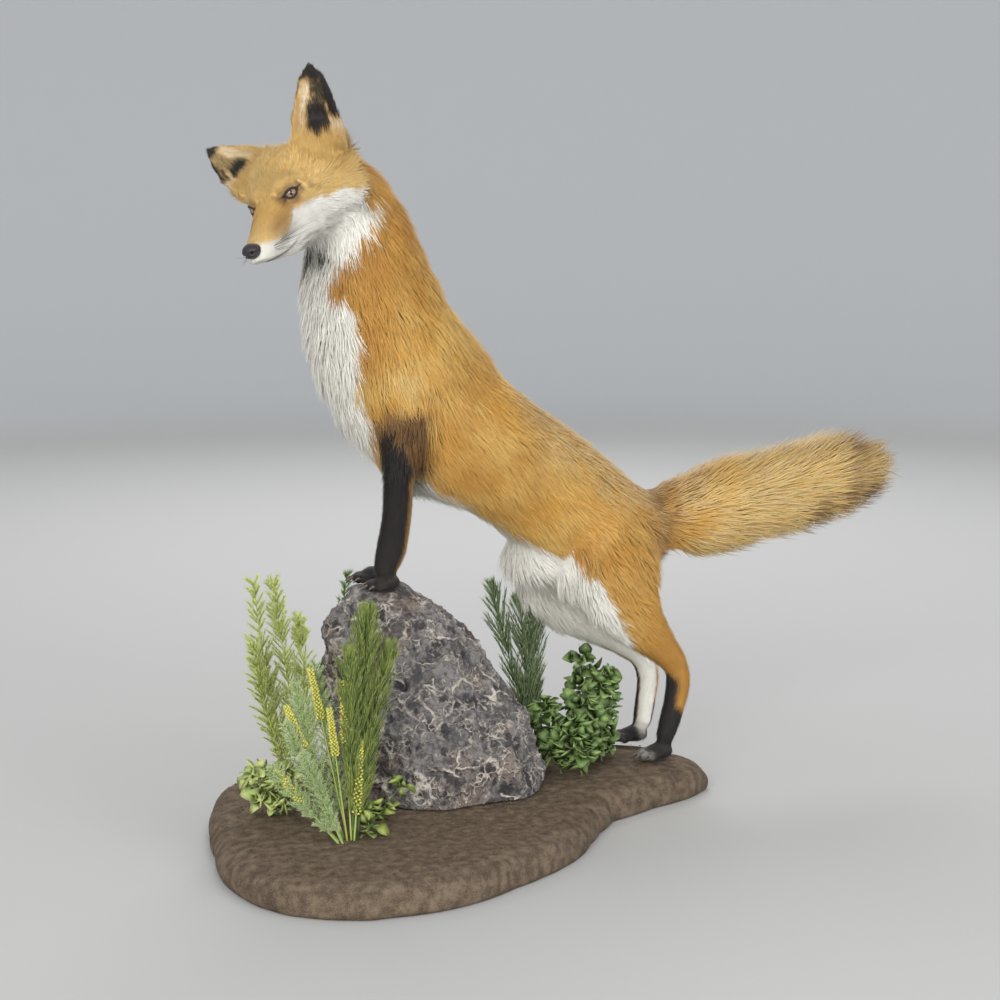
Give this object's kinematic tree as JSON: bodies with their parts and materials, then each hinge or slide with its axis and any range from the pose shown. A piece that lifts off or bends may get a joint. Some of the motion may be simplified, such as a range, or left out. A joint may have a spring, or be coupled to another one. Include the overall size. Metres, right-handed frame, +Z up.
{
  "type": "mounted red fox",
  "caption": "Red fox taxidermy mount stretching up with its forepaws on a rock, hind paws on an earth-covered base set with artificial plants.",
  "frame": {"origin": "middle of the mount's box, on the surface it stands on", "axes": "+Z up, +X from the fox's chest towards its tail, so the fox faces -X, and -Y is the fox's left side"},
  "size_m": [0.9256, 0.4778, 0.8224],
  "materials": {
    "red_coat": "long soft fur, golden orange with a grizzled brown back and white underside",
    "dark_coat": "short dense fur, black to dark brown",
    "straw_coat": "long loose fur, straw yellow with dark guard hairs",
    "nose_leather": "black pebbled nose leather with a slight sheen",
    "eye_glass": "polished amber taxidermy eye with an upright dark pupil",
    "stone": "craggy dark grey-brown moulded rock with pale dry-brushed veins",
    "earth": "dark brown fine soil fixed over a shaped base",
    "foliage": "moulded artificial leaves and sprigs in yellow-green, grey-green and olive"
  },
  "bodies": {
    "root": {"head": "red_coat", "neck": "red_coat", "trunk": "red_coat", "fore_leg_upper_left": "red_coat", "fore_leg_upper_right": "red_coat", "hind_leg_upper_left": "red_coat", "hind_leg_upper_right": "red_coat", "fore_leg_lower_left": "dark_coat", "fore_leg_lower_right": "dark_coat", "hind_leg_lower_left": "dark_coat", "hind_leg_lower_right": "dark_coat", "fore_paw_left": "dark_coat", "fore_paw_right": "dark_coat", "hind_paw_left": "dark_coat", "hind_paw_right": "dark_coat", "ear_left": "dark_coat", "ear_right": "dark_coat", "tail_root": "straw_coat", "tail_tip": "straw_coat", "nose": "nose_leather", "eye_left": "eye_glass", "eye_right": "eye_glass", "base": "earth", "rock": "stone", "plant_heather_tall": "foliage", "plant_plume": "foliage", "plant_heather_front": "foliage", "plant_heather_low": "foliage", "plant_leaves_front": "foliage", "plant_fern_rear": "foliage", "plant_conifer_rear": "foliage", "plant_ivy_near": "foliage", "plant_ivy_middle": "foliage", "plant_ivy_far": "foliage"}
  },
  "joints": []
}
